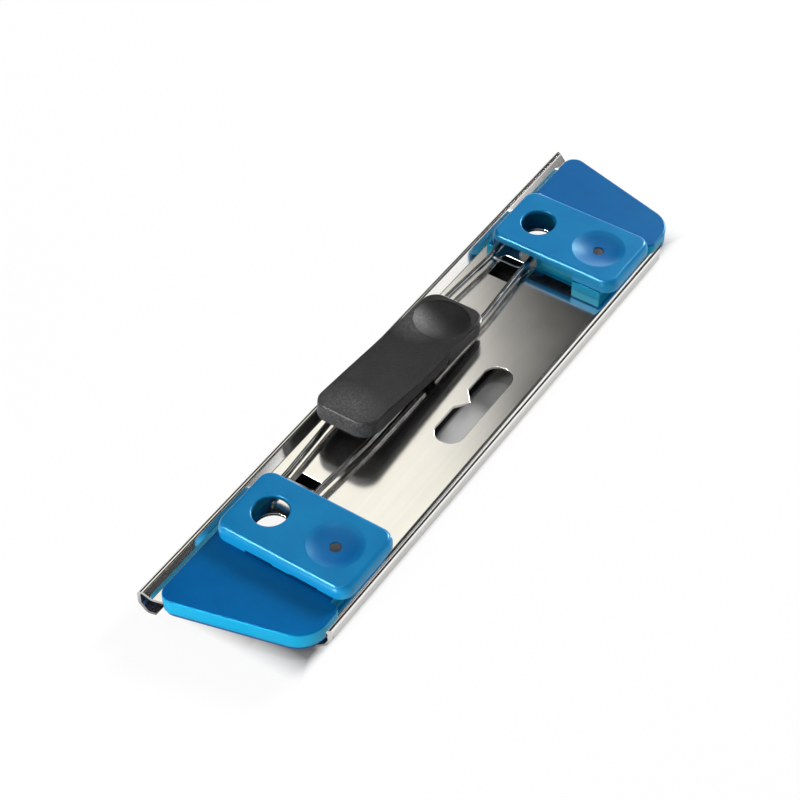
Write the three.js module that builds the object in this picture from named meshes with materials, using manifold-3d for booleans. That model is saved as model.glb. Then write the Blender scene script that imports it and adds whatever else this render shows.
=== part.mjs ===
// Mini hole punch: a thin bent plate with two punch units, 80 mm apart, worked by one rocking handle.
// Millimetres, +Z up. X runs across, Y along, and the origin is the middle of the rest plane.
import * as THREE from "three";
import { mergeVertices } from "three/addons/utils/BufferGeometryUtils.js";
import Module from "manifold-3d";

const wasm = await Module();
wasm.setup();

// Shared values
const HOLE_SPACING = 80;
const PRESS_TRAVEL = 0.6;
const CLEARANCE = 0.3;
const FREE_PLAY = 0.1;
const SEAT_GAP = 0.05;
const OVERRUN = 2;
const ARC_STEPS = 5;
const ROUND_SIDES = 28;
const SMALL_SIDES = 16;
const MITRE_SHARE = 0.7;
const UNIT_Y = HOLE_SPACING / 2;

// Wires of the bails, and the walls that they pass
const WIRE_RADIUS = 0.6;
const WIRE_SIDES = 10;
const WIRE_HALF_AT_UNIT = 3.15;
const COVER_WALL = 1.1;
const WIRE_REACH = WIRE_HALF_AT_UNIT + WIRE_RADIUS + CLEARANCE;

// Across the plate, from its left edge to its right one
const LIP_WIDTH = 2.3;
const PAD_MARGIN = 0.95;
const WINDOW_SHIFT = 0.8;
const WINDOW_HALF_X = 2.95;
const WINDOW_HALF_Y = 3.15;
const STOP_FROM_WINDOW = 0.6;
const PAPER_REACH = 8.7;
const PIN_FROM_RIGHT = 6.85;
const PAD_FROM_LEFT = LIP_WIDTH + PAD_MARGIN;
const PRESS_FROM_LEFT = PAD_FROM_LEFT + COVER_WALL + FREE_PLAY + WIRE_REACH;
const STOP_FROM_LEFT = PRESS_FROM_LEFT + WINDOW_SHIFT + WINDOW_HALF_X + STOP_FROM_WINDOW;
const PLATE_WIDTH = STOP_FROM_LEFT + PAPER_REACH + PIN_FROM_RIGHT;
const HALF_WIDTH = PLATE_WIDTH / 2;
const PRESS_X = -HALF_WIDTH + PRESS_FROM_LEFT;
const WINDOW_X = PRESS_X + WINDOW_SHIFT;
const STOP_RIGHT = -HALF_WIDTH + STOP_FROM_LEFT;
const PIN_X = HALF_WIDTH - PIN_FROM_RIGHT;

// Bent base plate
const PLATE_BEYOND_UNIT = 22;
const END_SLOPE_SHARE = 0.265;
const PLATE_TOP = 3.8;
const SHEET = 0.5;
const LIP_RISE = 1.4;
const LIP_BEND = 0.5;
const LIP_TUCK = 1.2;
const TUCK_HEIGHT = 2.2;
const TUCK_BEND = 0.8;
const FLANGE_WIDTH = 1.2;
const EDGE_BEND = 0.95;
const EDGE_TUCK = 0.5;
const EDGE_TUCK_HEIGHT = 1.1;
const EDGE_TUCK_BEND = 0.4;
const CORNER_CUT_WIDTH = 5.7;
const CORNER_CUT_LENGTH = 3.5;
const CORNER_CUT_ROUND = 2;
const PLATE_REACH = UNIT_Y + PLATE_BEYOND_UNIT;

// Filing slot with its tooth
const SLOT_FROM_RIGHT = 4.45;
const SLOT_WIDTH = 5.2;
const SLOT_LENGTH = 19.8;
const TOOTH_DEPTH = 1.9;
const TOOTH_WIDTH = 4.5;

// Pads with the die holders
const UNIT_HALF_LENGTH = 7.3;
const PAD_THICKNESS = 1.8;
const PAD_SETBACK = 0.4;
const PAD_OVERHANG = 0.95;
const PAD_ROUND = 0.2;
const PAD_LEFT_CORNER = 2.2;
const PAD_RIGHT_CORNER = 5.2;
const NECK_SETBACK = 1.9;
const NECK_BEYOND_UNIT = 0.4;
const NECK_ROUND = 0.35;
const LOBE_ROUND = 1.5;
const UNIT_INNER_Y = UNIT_Y - UNIT_HALF_LENGTH;
const UNIT_OUTER_Y = UNIT_Y + UNIT_HALF_LENGTH;
const PAD_TOP = PLATE_TOP + PAD_THICKNESS;
const PAD_LEFT = -HALF_WIDTH + PAD_FROM_LEFT;
const PAD_RIGHT = HALF_WIDTH - PAD_SETBACK;
const NECK_RIGHT = PAD_RIGHT - NECK_SETBACK;
const LOBE_START = UNIT_OUTER_Y + NECK_BEYOND_UNIT;

// Upper covers
const COVER_HEIGHT = 2.6;
const COVER_CROWN = 0.75;
const COVER_CORNER = 2.5;
const COVER_ROUND_WIDTH = 0.9;
const COVER_ROUND_HEIGHT = 1.6;
const ROUND_STEPS = 4;
const PAPER_GAP = 0.35;
const FLOOR_THICKNESS = 0.3;
const STOP_WALL = 1.1;
const MOUTH_FROM_PIN = 0.9;
const MOUTH_LINTEL = 0.25;
const SLIT_LENGTH = 5.2;
const SLIT_HEIGHT = 0.6;
const LEFT_SLIT_FROM_PIN = 12;
const RIGHT_SLIT_FROM_PIN = 3.5;
const DISH_RADIUS = 4.5;
const DISH_DEPTH = 0.5;
const PEEP_RADIUS = 1.25;
const COVER_TOP = PAD_TOP + COVER_HEIGHT;
const CEILING = COVER_TOP - COVER_CROWN;
const ROOM_LEFT = PAD_LEFT + COVER_WALL;
const STOP_LEFT = STOP_RIGHT - STOP_WALL;
const MOUTH_RIGHT = PIN_X - MOUTH_FROM_PIN;

// Punch pins, dies and crossheads
const PIN_RADIUS = 2.75;
const PIN_NOTCH_DEPTH = 0.3;
const PIN_NOTCH_HALF = 1.3;
const TENON_RADIUS = 1.1;
const DIE_WALL = 1.1;
const DROP_MARGIN = 0.4;
const HEAD_THICKNESS = 0.5;
const HEAD_BEYOND_PIN = 3;
const HEAD_STRAP_WIDTH = 1.2;
const HEAD_CORNER = 0.4;
const DIE_BORE = PIN_RADIUS + FREE_PLAY;
const DIE_OUTER = DIE_BORE + DIE_WALL;
const HEAD_BOTTOM = CEILING - SEAT_GAP - HEAD_THICKNESS;
const HEAD_RIGHT = PIN_X + HEAD_BEYOND_PIN;
const HEAD_STRAP_Y = UNIT_INNER_Y + COVER_WALL + CLEARANCE;
const HEAD_STRAP_FAR = HEAD_STRAP_Y + HEAD_STRAP_WIDTH;

// Handle, its near end tilted up at rest
const HANDLE_LENGTH = 36;
const HANDLE_WIDTH = 11.4;
const HANDLE_SHIFT = 2.5;
const HANDLE_CORNER = 3;
const HANDLE_ROUND = 0.5;
const HANDLE_TILT_DEGREES = 5.9;
const CAP_THICKNESS = 3;
const CAP_BELOW_PIVOT = 0.8;
const CAP_WALL = 0.9;
const CAP_CROWN = 1.4;
const THUMB_FROM_END = 6.6;
const THUMB_RADIUS = 4.7;
const THUMB_DEPTH = 1;
const DIP_DEPTH = 0.35;
const NOTCH_HEIGHT = 1.3;
const PIVOT_FROM_END = 12.5;
const PIVOT_RADIUS = 0.35;
const PIVOT_BORE = 0.5;
const LUG_INSET = 1.2;
const LUG_HALF_Y = 1;
const LUG_WALL = 0.25;
const LUG_ROOM = 0.4;
const HANDLE_FAR_Y = HANDLE_LENGTH / 2 - HANDLE_SHIFT;
const HANDLE_NEAR_Y = HANDLE_FAR_Y - HANDLE_LENGTH;
const PIVOT_Y = HANDLE_FAR_Y - PIVOT_FROM_END;
const CAP_INNER_HALF = HANDLE_WIDTH / 2 - CAP_WALL;

// Bails with their guide tongues
const WIRE_GAP = 1.5;
const WIRE_SPLAY_GAP = 2.5;
const WIRE_NARROW_GAP = 2.7;
const TONGUE_FROM_UNIT = 1.6;
const TONGUE_SHEET = 0.5;
const TONGUE_HALF = 1.75;
const TONGUE_DIP = 0.3;
const TONGUE_NECK = 0.4;
const TONGUE_BELOW_SHEET = 1;
const SHOULDER_RISE = 0.1;
const SHOULDER_DROP = 0.4;
const CUTOUT_FROM_UNIT = 4.8;
const CUTOUT_UNDER_UNIT = 1;
const WIRE_Z = PLATE_TOP + PRESS_TRAVEL + CLEARANCE + WIRE_RADIUS;
const WIRE_HALF_AT_HANDLE = CAP_INNER_HALF - CLEARANCE - WIRE_RADIUS;
const TONGUE_ROOM = TONGUE_HALF + CLEARANCE;

// Carrier under the handle, with the pivot's lug
const CARRIER_THICKNESS = 0.5;
const CARRIER_GAP = 0.4;
const CARRIER_SHORT_NEAR = 5.5;
const CARRIER_SHORT_FAR = 3;
const CARRIER_CORNER = 1.5;
const CARRIER_BOTTOM = WIRE_Z + WIRE_RADIUS + FREE_PLAY;
const CARRIER_TOP = CARRIER_BOTTOM + CARRIER_THICKNESS;
const CARRIER_HALF_X = CAP_INNER_HALF - CARRIER_GAP;
const LUG_HALF_X = CARRIER_HALF_X - LUG_INSET;
const PIVOT_Z = CARRIER_TOP + FREE_PLAY + PIVOT_BORE;

// Return springs
const SPRING_FROM_MIDDLE = 7.5;
const SPRING_RADIUS = 1.95;
const SPRING_WIRE = 0.2;
const SPRING_TURNS = 2;
const SPRING_STEPS = 8;
const SPRING_SIDES = 5;
const POST_RADIUS = 1.2;
const POST_LENGTH = 0.5;

// Under-pads and their screws
const UNDER_LIFT = 1.8;
const UNDER_RIM = 0.95;
const UNDER_INSET = 0.4;
const UNDER_LENGTH = 4.6;
const SCREW_FROM_END = 4.2;
const LEFT_SCREW_FROM_PAD = 5;
const RIGHT_SCREW_FROM_PAD = 7.1;
const SCREW_HEAD_RADIUS = 1.6;
const SCREW_CROWN_RADIUS = 1.3;
const SCREW_SUNK = 0.1;
const SCREW_HEAD_HEIGHT = 0.7;
const SCREW_RADIUS = 0.75;
const SCREW_BITE = 1;
const SCREW_TIP = 0.3;
const RECESS_HALF = 0.22;
const RECESS_REACH = 0.95;
const RECESS_DEPTH = 0.35;
const SKIRT_BOTTOM = UNDER_LIFT + UNDER_RIM + SEAT_GAP;
const UNDER_TOP = PLATE_TOP - SHEET - SEAT_GAP;
const SCREW_BOTTOM = UNDER_LIFT + SCREW_SUNK;
const SCREW_SEAT = SCREW_BOTTOM + SCREW_HEAD_HEIGHT;
const SCREW_TOP = PLATE_TOP + SCREW_BITE;
const SCREW_X = [PAD_LEFT + LEFT_SCREW_FROM_PAD, PAD_RIGHT - RIGHT_SCREW_FROM_PAD];

// Materials
const moulded = { roughness: 0.45, metalness: 0 };
const bright = { roughness: 0.2, metalness: 1 };
const materials = {
  plate: new THREE.MeshStandardMaterial({ color: 0xd9d6cf, roughness: 0.16, metalness: 1 }),
  cover: new THREE.MeshStandardMaterial({ color: 0x086eb2, ...moulded }),
  pad: new THREE.MeshStandardMaterial({ color: 0x005fa9, ...moulded }),
  underPad: new THREE.MeshStandardMaterial({ color: 0x12365c, roughness: 0.7, metalness: 0 }),
  handle: new THREE.MeshStandardMaterial({ color: 0x262628, roughness: 0.6, metalness: 0 }),
  wire: new THREE.MeshStandardMaterial({ color: 0xdadada, ...bright }),
  steel: new THREE.MeshStandardMaterial({ color: 0x8c8c8a, roughness: 0.35, metalness: 1 }),
};

// Turn a closed geometry into a solid that can be joined and cut.
function solidOf(geometry) {
  geometry.deleteAttribute("normal");
  geometry.deleteAttribute("uv");
  const merged = mergeVertices(geometry);
  const vertProperties = merged.getAttribute("position").array;
  const triVerts = new Uint32Array(merged.index.array);
  return new wasm.Manifold(new wasm.Mesh({ numProp: 3, vertProperties, triVerts }));
}

// Turn a solid back into an indexed geometry.
function geometryOf(solid) {
  const { vertProperties, triVerts } = solid.getMesh();
  const geometry = new THREE.BufferGeometry();
  geometry.setAttribute("position", new THREE.BufferAttribute(vertProperties, 3));
  geometry.setIndex(new THREE.BufferAttribute(triVerts, 1));
  geometry.computeVertexNormals();
  return geometry;
}

// Mirror a far-end geometry to the near end, with its faces still pointing out.
function mirroredToNear(geometry) {
  const near = geometry.clone().scale(1, -1, 1);
  const corners = near.index.array;
  for (let i = 0; i < corners.length; i += 3) {
    [corners[i], corners[i + 1]] = [corners[i + 1], corners[i]];
  }
  near.computeVertexNormals();
  return near;
}

// A closed outline from corners [x, y, radius], each corner rounded by a short arc.
function roundedOutline(corners) {
  const points = [];
  corners.forEach(([x, y, radius], i) => {
    const corner = new THREE.Vector2(x, y);
    const before = corners[(i + corners.length - 1) % corners.length];
    const after = corners[(i + 1) % corners.length];
    if (!radius) {
      points.push(corner);
      return;
    }
    const back = new THREE.Vector2(before[0], before[1]).sub(corner).normalize();
    const ahead = new THREE.Vector2(after[0], after[1]).sub(corner).normalize();
    const half = Math.acos(THREE.MathUtils.clamp(back.dot(ahead), -1, 1)) / 2;
    const middle = back.clone().add(ahead).normalize();
    const centre = corner.clone().addScaledVector(middle, radius / Math.sin(half));
    const start = corner.clone().addScaledVector(back, radius / Math.tan(half)).sub(centre);
    const end = corner.clone().addScaledVector(ahead, radius / Math.tan(half)).sub(centre);
    const turn = Math.atan2(start.cross(end), start.dot(end));
    for (let step = 0; step <= ARC_STEPS; step++) {
      const share = step / ARC_STEPS;
      points.push(start.clone().rotateAround(new THREE.Vector2(), turn * share).add(centre));
    }
  });
  return points;
}

// Points of an ellipse round a centre.
function ellipse(x, y, halfX, halfY) {
  return new THREE.EllipseCurve(x, y, halfX, halfY).getPoints(ROUND_SIDES).slice(0, ROUND_SIDES);
}

// A band of even thickness on both sides of an open centreline.
function bandOutline(line, thickness) {
  const sides = [1, -1].map((side) =>
    line.map((point, i) => {
      const before = line[Math.max(i - 1, 0)];
      const after = line[Math.min(i + 1, line.length - 1)];
      const inward = point.clone().sub(before).normalize();
      const outward = after.clone().sub(point).normalize();
      const along = inward.add(outward).normalize();
      const normal = new THREE.Vector2(-along.y, along.x);
      const step = after.clone().sub(point).normalize();
      const ahead = i < line.length - 1 ? step : along;
      const stretch = 1 / Math.max(along.dot(ahead), MITRE_SHARE);
      return point.clone().addScaledVector(normal, (side * thickness * stretch) / 2);
    }),
  );
  return [...sides[0], ...sides[1].reverse()];
}

// An upright prism over an outline.
function prism(outline, bottom, top) {
  const options = { depth: top - bottom, bevelEnabled: false };
  return solidOf(new THREE.ExtrudeGeometry(new THREE.Shape(outline), options).translate(0, 0, bottom));
}

// A prism along Y over an outline of X and Z.
function prismAlongY(outline, from, to) {
  const options = { depth: to - from, bevelEnabled: false };
  const geometry = new THREE.ExtrudeGeometry(new THREE.Shape(outline), options);
  return solidOf(geometry.rotateX(Math.PI / 2).translate(0, to, 0));
}

// An upright prism whose top edge is rounded over, by its own width and height.
function roundedPrism(outline, bottom, top, roundWidth, roundHeight) {
  const options = {
    depth: top - bottom,
    bevelThickness: roundHeight,
    bevelSize: roundWidth,
    bevelOffset: -roundWidth,
    bevelSegments: ROUND_STEPS,
  };
  const geometry = new THREE.ExtrudeGeometry(new THREE.Shape(outline), options);
  const whole = solidOf(geometry.translate(0, 0, bottom - roundHeight));
  const across = [-PLATE_WIDTH, PLATE_WIDTH];
  const along = [-PLATE_REACH * 2, PLATE_REACH * 2];
  return whole.subtract(block(across, along, [bottom - OVERRUN * 2, bottom]));
}

// A box from its ranges along X, Y and Z.
function block([left, right], [near, far], [bottom, top]) {
  const geometry = new THREE.BoxGeometry(right - left, far - near, top - bottom);
  return solidOf(geometry.translate((left + right) / 2, (near + far) / 2, (bottom + top) / 2));
}

// An upright cylinder.
function post(x, y, radius, bottom, top, sides = ROUND_SIDES) {
  const geometry = new THREE.CylinderGeometry(radius, radius, top - bottom, sides);
  return solidOf(geometry.rotateX(Math.PI / 2).translate(x, y, (bottom + top) / 2));
}

// A round bar along X.
function crossBar(halfLength, radius, sides) {
  return new THREE.CylinderGeometry(radius, radius, halfLength * 2, sides).rotateZ(Math.PI / 2);
}

// A cutter for a shallow round dish whose rim lies at z = 0.
function dish(radius, depth) {
  const sphere = (radius * radius + depth * depth) / (2 * depth);
  const reach = Math.asin(radius / sphere);
  const profile = [];
  for (let step = 0; step <= ARC_STEPS; step++) {
    const angle = (reach * step) / ARC_STEPS;
    profile.push(new THREE.Vector2(sphere * Math.sin(angle), sphere - depth - sphere * Math.cos(angle)));
  }
  profile[0].x = 0;
  profile.push(new THREE.Vector2(radius, OVERRUN), new THREE.Vector2(0, OVERRUN));
  return new THREE.LatheGeometry(profile, ROUND_SIDES).rotateX(Math.PI / 2);
}

// A bent round rod through points, with a ball in each bend.
function rod(points, radius) {
  const parts = points.slice(1).map((end, i) => {
    const start = points[i];
    const along = end.clone().sub(start);
    const geometry = new THREE.CylinderGeometry(radius, radius, along.length(), WIRE_SIDES);
    const turn = new THREE.Quaternion();
    turn.setFromUnitVectors(new THREE.Vector3(0, 1, 0), along.normalize());
    const middle = start.clone().add(end).divideScalar(2);
    return solidOf(geometry.applyQuaternion(turn).translate(middle.x, middle.y, middle.z));
  });
  const bends = points.slice(1, -1).map((point) => {
    const ball = new THREE.SphereGeometry(radius, WIRE_SIDES, WIRE_SIDES / 2).rotateX(Math.PI / 2);
    return solidOf(ball.translate(point.x, point.y, point.z));
  });
  return [...parts, ...bends].reduce((whole, part) => whole.add(part));
}

// Where the slanted end of the plate, moved out by a margin, crosses a line at x.
function plateEnd(x, margin = 0) {
  return PLATE_REACH + margin - END_SLOPE_SHARE * (x + HALF_WIDTH);
}

// A block over the plate's plan, moved out by a margin: slanted ends, and cut corners on the right.
function platePlan(margin) {
  const left = -PLATE_WIDTH;
  const right = HALF_WIDTH + margin;
  const cut = right - CORNER_CUT_WIDTH;
  const far = [
    [left, plateEnd(left, margin), 0],
    [cut, plateEnd(cut, margin), CORNER_CUT_ROUND],
    [right, plateEnd(right, margin) - CORNER_CUT_LENGTH, CORNER_CUT_ROUND],
  ];
  const near = far.map(([x, y, radius]) => [x, -y, radius]).reverse();
  return prism(roundedOutline([...far, ...near]), -OVERRUN, COVER_TOP);
}

// The sheet's centreline across the plate, from the left flange to the right one.
function sheetCentreline() {
  const half = SHEET / 2;
  const leftWall = -HALF_WIDTH + half;
  const rightWall = HALF_WIDTH - half;
  const leftFoot = leftWall + LIP_TUCK;
  const rightFoot = rightWall - EDGE_TUCK;
  return roundedOutline([
    [leftFoot + FLANGE_WIDTH, half, 0],
    [leftFoot, half, TUCK_BEND],
    [leftWall, TUCK_HEIGHT, TUCK_BEND],
    [leftWall, PLATE_TOP + LIP_RISE, LIP_BEND],
    [-HALF_WIDTH + LIP_WIDTH, PLATE_TOP - half, LIP_BEND],
    [rightWall, PLATE_TOP - half, EDGE_BEND],
    [rightWall, EDGE_TUCK_HEIGHT, EDGE_TUCK_BEND],
    [rightFoot, half, EDGE_TUCK_BEND],
    [rightFoot - FLANGE_WIDTH, half, 0],
  ]);
}

// The filing slot: round ends, and a pointed tooth in the middle of its left side.
function slotOutline() {
  const round = SLOT_WIDTH / 2;
  const right = HALF_WIDTH - SLOT_FROM_RIGHT;
  const left = right - SLOT_WIDTH;
  const end = SLOT_LENGTH / 2;
  return roundedOutline([
    [left, -TOOTH_WIDTH / 2, 0],
    [left + TOOTH_DEPTH, 0, 0],
    [left, TOOTH_WIDTH / 2, 0],
    [left, end, round],
    [right, end, round],
    [right, -end, round],
    [left, -end, round],
  ]);
}

// The ranges of a length and its mirror image, from the middle plane.
function bothEnds(inner, outer) {
  return [
    [inner, outer],
    [-outer, -inner],
  ];
}

// Bent plate: a lip on the left, a round edge on the right, slanted ends and all its holes.
function basePlate() {
  const profile = bandOutline(sheetCentreline(), SHEET);
  const sheet = prismAlongY(profile, -PLATE_REACH - OVERRUN, PLATE_REACH + OVERRUN);
  const through = [-OVERRUN, COVER_TOP];
  const across = [PRESS_X - TONGUE_ROOM, PRESS_X + TONGUE_ROOM];
  let plate = sheet.intersect(platePlan(0));
  plate = plate.subtract(prism(slotOutline(), ...through));
  for (const along of bothEnds(UNIT_INNER_Y - CUTOUT_FROM_UNIT, UNIT_INNER_Y + CUTOUT_UNDER_UNIT)) {
    plate = plate.subtract(block(across, along, through));
  }
  for (const y of [UNIT_Y, -UNIT_Y]) {
    plate = plate.subtract(prism(ellipse(WINDOW_X, y, WINDOW_HALF_X, WINDOW_HALF_Y), ...through));
    plate = plate.subtract(post(PIN_X, y, DIE_BORE + DROP_MARGIN, ...through));
  }
  for (const x of SCREW_X) {
    const y = plateEnd(x) - SCREW_FROM_END;
    const radius = SCREW_RADIUS + CLEARANCE;
    plate = plate.subtract(post(x, y, radius, ...through, SMALL_SIDES));
    plate = plate.subtract(post(x, -y, radius, ...through, SMALL_SIDES));
  }
  return plate;
}

// Plan of a pad, pulled in by an inset, with a neck under the cover where it reaches that far.
function padPlan(inset, inner) {
  const left = PAD_LEFT + inset;
  const right = PAD_RIGHT - inset;
  const margin = PAD_OVERHANG - inset;
  const neck = [
    [NECK_RIGHT, inner, 0],
    [NECK_RIGHT, LOBE_START, NECK_ROUND],
    [right, LOBE_START, LOBE_ROUND],
  ];
  return roundedOutline([
    [left, inner, 0],
    ...(inner < LOBE_START ? neck : [[right, inner, 0]]),
    [right, plateEnd(right, margin), PAD_RIGHT_CORNER - inset],
    [left, plateEnd(left, margin), PAD_LEFT_CORNER - inset],
  ]);
}

// Inner edge of what lies under the plate's end.
function underInner() {
  return plateEnd(HALF_WIDTH) - UNDER_LENGTH;
}

// Lower body: paper pad, skirt round the plate's end and die holder under the cover.
function lowerBody() {
  const pad = roundedPrism(padPlan(0, UNIT_INNER_Y), PLATE_TOP, PAD_TOP, PAD_ROUND, PAD_ROUND);
  const skirtPlan = prism(padPlan(0, underInner()), SKIRT_BOTTOM, PLATE_TOP + FREE_PLAY);
  const through = [PLATE_TOP - OVERRUN, PAD_TOP + OVERRUN];
  const outside = UNIT_INNER_Y - OVERRUN;
  const rooms = [
    block([ROOM_LEFT, STOP_LEFT], [outside, UNIT_OUTER_Y - COVER_WALL], through),
    block([ROOM_LEFT, MOUTH_RIGHT], [outside, HEAD_STRAP_FAR + CLEARANCE], through),
    post(PIN_X, UNIT_Y, DIE_OUTER + CLEARANCE, ...through),
    prism(ellipse(WINDOW_X, UNIT_Y, WINDOW_HALF_X + CLEARANCE, WINDOW_HALF_Y + CLEARANCE), ...through),
    ...SCREW_X.map((x) => {
      const y = plateEnd(x) - SCREW_FROM_END;
      return post(x, y, SCREW_RADIUS + CLEARANCE, 0, SCREW_TOP + CLEARANCE, SMALL_SIDES);
    }),
  ];
  const body = pad.add(skirtPlan.subtract(platePlan(CLEARANCE)));
  return rooms.reduce((rest, room) => rest.subtract(room), body);
}

// Upper cover: rounded shell with a mouth to the press, a throat for paper, a filing window, a dish
// over the pin and two slits along its outer foot.
function upperCover() {
  const plan = roundedOutline([
    [PAD_LEFT, UNIT_INNER_Y, COVER_CORNER],
    [HALF_WIDTH, UNIT_INNER_Y, COVER_CORNER],
    [HALF_WIDTH, UNIT_OUTER_Y, COVER_CORNER],
    [PAD_LEFT, UNIT_OUTER_Y, COVER_CORNER],
  ]);
  const floorBottom = PAD_TOP + PAPER_GAP;
  const floorTop = floorBottom + FLOOR_THICKNESS;
  const below = PAD_TOP - OVERRUN;
  const wallNear = UNIT_INNER_Y + COVER_WALL;
  const wallFar = UNIT_OUTER_Y - COVER_WALL;
  const outside = UNIT_INNER_Y - OVERRUN;
  const throughWall = [outside, wallNear + FREE_PLAY];
  const mouthTop = CEILING - MOUTH_LINTEL;
  const roomRight = HEAD_RIGHT + CLEARANCE;
  const shell = roundedPrism(plan, PAD_TOP, COVER_TOP, COVER_ROUND_WIDTH, COVER_ROUND_HEIGHT);
  const rooms = [
    block([ROOM_LEFT, STOP_LEFT], [wallNear, wallFar], [below, CEILING]),
    block([STOP_LEFT - OVERRUN, roomRight], [wallNear, wallFar], [floorTop, CEILING]),
    block([ROOM_LEFT, MOUTH_RIGHT], [wallNear, HEAD_STRAP_FAR + CLEARANCE], [below, CEILING]),
    block([PRESS_X - WIRE_REACH, MOUTH_RIGHT], throughWall, [below, mouthTop]),
    block([STOP_RIGHT, HALF_WIDTH + OVERRUN], [outside, UNIT_OUTER_Y + OVERRUN], [below, floorBottom]),
    post(PIN_X, UNIT_Y, PIN_RADIUS + CLEARANCE, floorBottom - FREE_PLAY, floorTop + FREE_PLAY),
    post(PIN_X, UNIT_Y, PEEP_RADIUS, CEILING - FREE_PLAY, COVER_TOP + OVERRUN, SMALL_SIDES),
    solidOf(dish(DISH_RADIUS, DISH_DEPTH).translate(PIN_X, UNIT_Y, COVER_TOP)),
    prism(ellipse(WINDOW_X, UNIT_Y, WINDOW_HALF_X, WINDOW_HALF_Y), 0, COVER_TOP + OVERRUN),
    ...[LEFT_SLIT_FROM_PIN, RIGHT_SLIT_FROM_PIN].map((reach) => {
      const across = [PIN_X - reach, PIN_X - reach + SLIT_LENGTH];
      const wall = [wallFar - FREE_PLAY, UNIT_OUTER_Y + OVERRUN];
      return block(across, wall, [below, PAD_TOP + SLIT_HEIGHT]);
    }),
  ];
  return rooms.reduce((cover, room) => cover.subtract(room), shell);
}

// Hardened die ring under the punch pin.
function die() {
  const ring = post(PIN_X, UNIT_Y, DIE_OUTER, PLATE_TOP, PAD_TOP);
  return ring.subtract(post(PIN_X, UNIT_Y, DIE_BORE, PLATE_TOP - OVERRUN, PAD_TOP + OVERRUN));
}

// Punch pin: a short round blade with a notched tip, and a tenon through the crosshead.
function punchPin() {
  const tip = PAD_TOP + PAPER_GAP + FREE_PLAY;
  const profile = [
    [0, tip],
    [PIN_RADIUS, tip],
    [PIN_RADIUS, HEAD_BOTTOM],
    [TENON_RADIUS, HEAD_BOTTOM],
    [TENON_RADIUS, HEAD_BOTTOM + HEAD_THICKNESS],
    [0, HEAD_BOTTOM + HEAD_THICKNESS],
  ].map(([x, z]) => new THREE.Vector2(x, z));
  const geometry = new THREE.LatheGeometry(profile, ROUND_SIDES).rotateX(Math.PI / 2);
  const notch = prismAlongY(
    [
      new THREE.Vector2(PIN_X - PIN_NOTCH_HALF, tip - FREE_PLAY),
      new THREE.Vector2(PIN_X + PIN_NOTCH_HALF, tip - FREE_PLAY),
      new THREE.Vector2(PIN_X, tip + PIN_NOTCH_DEPTH),
    ],
    UNIT_Y - PIN_RADIUS - OVERRUN,
    UNIT_Y + PIN_RADIUS + OVERRUN,
  );
  return solidOf(geometry.translate(PIN_X, UNIT_Y, 0)).subtract(notch);
}

// Crosshead: a flat steel arm inside the cover, from the bail's wire ends to the punch pin.
function crosshead() {
  const outer = UNIT_OUTER_Y - COVER_WALL - CLEARANCE;
  const shoulder = STOP_RIGHT + CLEARANCE;
  const left = ROOM_LEFT + CLEARANCE;
  const plan = roundedOutline([
    [left, HEAD_STRAP_Y, HEAD_CORNER],
    [HEAD_RIGHT, HEAD_STRAP_Y, HEAD_CORNER],
    [HEAD_RIGHT, outer, HEAD_CORNER],
    [shoulder, outer, HEAD_CORNER],
    [shoulder, HEAD_STRAP_FAR, HEAD_CORNER],
    [left, HEAD_STRAP_FAR, HEAD_CORNER],
  ]);
  const arm = prism(plan, HEAD_BOTTOM, HEAD_BOTTOM + HEAD_THICKNESS);
  const through = [HEAD_BOTTOM - OVERRUN, HEAD_BOTTOM + HEAD_THICKNESS + OVERRUN];
  return arm.subtract(post(PIN_X, UNIT_Y, TENON_RADIUS + CLEARANCE, ...through));
}

// Bail: two wires from the handle to the crosshead, joined by a tongue that slides in the plate.
function bail() {
  const end = HEAD_STRAP_Y + HEAD_STRAP_WIDTH / 2;
  const wires = [-1, 1].map((side) => {
    const wide = PRESS_X + side * WIRE_HALF_AT_HANDLE;
    const narrow = PRESS_X + side * WIRE_HALF_AT_UNIT;
    const route = [
      [wide, WIRE_GAP, WIRE_Z],
      [wide, HANDLE_FAR_Y + WIRE_SPLAY_GAP, WIRE_Z],
      [narrow, UNIT_INNER_Y - WIRE_NARROW_GAP, WIRE_Z],
      [narrow, end, WIRE_Z],
      [narrow, end, HEAD_BOTTOM - SEAT_GAP],
    ];
    return rod(route.map((point) => new THREE.Vector3(...point)), WIRE_RADIUS);
  });
  const shoulder = WIRE_Z - SHOULDER_DROP;
  const half = [
    [TONGUE_HALF, PLATE_TOP - SHEET - TONGUE_BELOW_SHEET],
    [TONGUE_HALF, shoulder - CLEARANCE - TONGUE_NECK],
    [TONGUE_ROOM, shoulder - CLEARANCE],
    [WIRE_HALF_AT_UNIT, shoulder],
    [WIRE_HALF_AT_UNIT, WIRE_Z + SHOULDER_RISE],
    [TONGUE_HALF, WIRE_Z - TONGUE_DIP],
  ];
  const mirrored = half.map(([x, z]) => [-x, z]).reverse();
  const outline = [...half, ...mirrored].map(([x, z]) => new THREE.Vector2(PRESS_X + x, z));
  const middle = UNIT_INNER_Y - TONGUE_FROM_UNIT;
  const tongue = prismAlongY(outline, middle - TONGUE_SHEET / 2, middle + TONGUE_SHEET / 2);
  return wires[0].add(wires[1]).add(tongue);
}

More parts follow.
